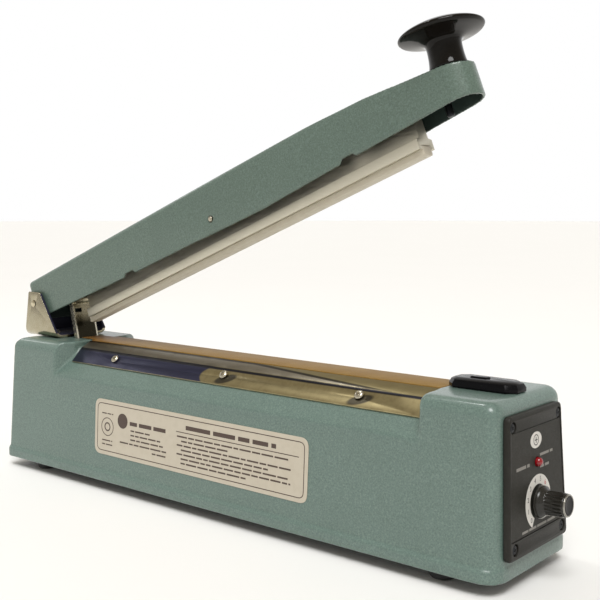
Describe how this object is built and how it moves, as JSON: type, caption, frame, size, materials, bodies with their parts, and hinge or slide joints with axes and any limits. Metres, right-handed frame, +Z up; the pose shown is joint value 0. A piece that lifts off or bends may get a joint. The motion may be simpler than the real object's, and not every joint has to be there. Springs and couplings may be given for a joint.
{
  "type": "impulse heat sealer",
  "caption": "Bench-top hand impulse heat sealer: long cast base with sealing strip, sprung hinged arm with pressing bar and round handle, timer dial on the front.",
  "frame": {"origin": "middle of the object's box in plan, on the plane of the foot soles", "axes": "+X from the hinge end to the control panel, +Z up, +Y to the far side of the sealing strip; the arm is open at rest"},
  "size_m": [0.445, 0.0888, 0.3035],
  "materials": {
    "arm_paint": "the same enamel, slightly darker and duller",
    "bar_aluminium": "satin extrusion",
    "black_plastic": "gloss black moulding",
    "black_steel": "black finish",
    "brass": "bare brass",
    "chrome": "bright plated sheet",
    "circuit_board": "green board",
    "copper": "enamelled winding",
    "cream_label": "printed cream plate with a brown line",
    "handle_plastic": "polished black phenolic",
    "heater_ribbon": "flat resistance ribbon",
    "knob_cap": "spun disc",
    "laminate": "heat-proof resin laminate",
    "lamination": "varnished core laminations",
    "mirror_plate": "mirror-bright sheet",
    "panel_face": "printed dark face sheet",
    "panel_plastic": "fine-grained black moulding",
    "ptfe_cloth": "tan release-coated glass cloth, slight sheen",
    "red_lens": "red lens",
    "rubber": "black rubber",
    "silicone": "off-white silicone",
    "steel": "bright steel",
    "teal_paint": "grey-green stove enamel with a fine hammered grain, on a thin casting",
    "wire": "red insulated wire"
  },
  "bodies": {
    "base": {"base_housing": "teal_paint", "bottom_cover": "black_steel", "bracket_screw_far": "steel", "bracket_screw_near": "steel", "cable_grommet": "rubber", "clamp_plate_far": "mirror_plate", "clamp_plate_near": "mirror_plate", "clamp_screw_far_1": "steel", "clamp_screw_far_2": "steel", "clamp_screw_far_3": "steel", "clamp_screw_near_1": "steel", "clamp_screw_near_2": "steel", "clamp_screw_near_3": "steel", "control_panel": "panel_plastic", "element_clamp_front": "brass", "element_clamp_rear": "brass", "element_wire_front": "wire", "element_wire_rear": "wire", "foot_front_far": "rubber", "foot_front_near": "rubber", "foot_rear_far": "rubber", "foot_rear_near": "rubber", "foot_screw_front_far": "steel", "foot_screw_front_near": "steel", "foot_screw_rear_far": "steel", "foot_screw_rear_near": "steel", "heating_element": "heater_ribbon", "hinge_bracket": "chrome", "hinge_pin": "steel", "indicator_lamp": "red_lens", "insulating_strip": "laminate", "microswitch": "black_plastic", "panel_label": "panel_face", "panel_screw_1": "black_steel", "panel_screw_2": "black_steel", "panel_screw_3": "black_steel", "panel_screw_4": "black_steel", "ptfe_cover": "ptfe_cloth", "return_spring": "steel", "side_label": "cream_label", "switch_bezel": "black_plastic", "switch_bracket": "steel", "timer_circuit_board": "circuit_board", "timer_potentiometer": "steel", "transformer_coil": "copper", "transformer_core": "lamination"},
    "arm": {"arm_shell": "arm_paint", "handle_knob": "handle_plastic", "knob_stud": "steel", "bar_pin": "steel", "link_pin": "steel", "striker": "black_steel", "bar_spring_rear": "steel", "bar_spring_front": "steel"},
    "pressing_bar": {"press_bar": "bar_aluminium", "silicone_strip": "silicone"},
    "link": {"spring_link": "chrome"},
    "timer_dial": {"timer_knob": "black_plastic", "timer_knob_cap": "knob_cap"},
    "switch_button": {"switch_plunger": "black_plastic"}
  },
  "joints": [
    {"name": "arm_hinge", "type": "hinge", "parent": "base", "child": "arm", "pos_m": [-0.21144, 0, 0.1245], "axis": [0, 1, 0], "range_deg": [0, 21.4], "stiffness_Nm_per_rad": 4, "springref_deg": -34.38, "deforming": ["return_spring"]},
    {"name": "bar_float", "type": "slide", "parent": "arm", "child": "pressing_bar", "axis": [-0.3649, 0, 0.9311], "range_m": [0, 0.00445]},
    {"name": "link_pivot", "type": "hinge", "parent": "arm", "child": "link", "pos_m": [-0.18144, 0, 0.12852], "axis": [0, 1, 0], "range_deg": [-21.5, 0]},
    {"name": "timer_knob_turn", "type": "hinge", "parent": "base", "child": "timer_dial", "pos_m": [0.21304, -0.0016, 0.04381], "axis": [0.9988, 0, 0.0499], "range_deg": [-240, 0]},
    {"name": "switch_press", "type": "slide", "parent": "base", "child": "switch_button", "axis": [0, 0, -1], "range_m": [0, 0.0025], "stiffness_N_per_m": 400, "springref_m": -0.0005}
  ],
  "couplings": [
    {"joint": "bar_float", "follows": "arm_hinge", "m_per_rad": 0.011902},
    {"joint": "link_pivot", "follows": "arm_hinge", "ratio": -1}
  ]
}
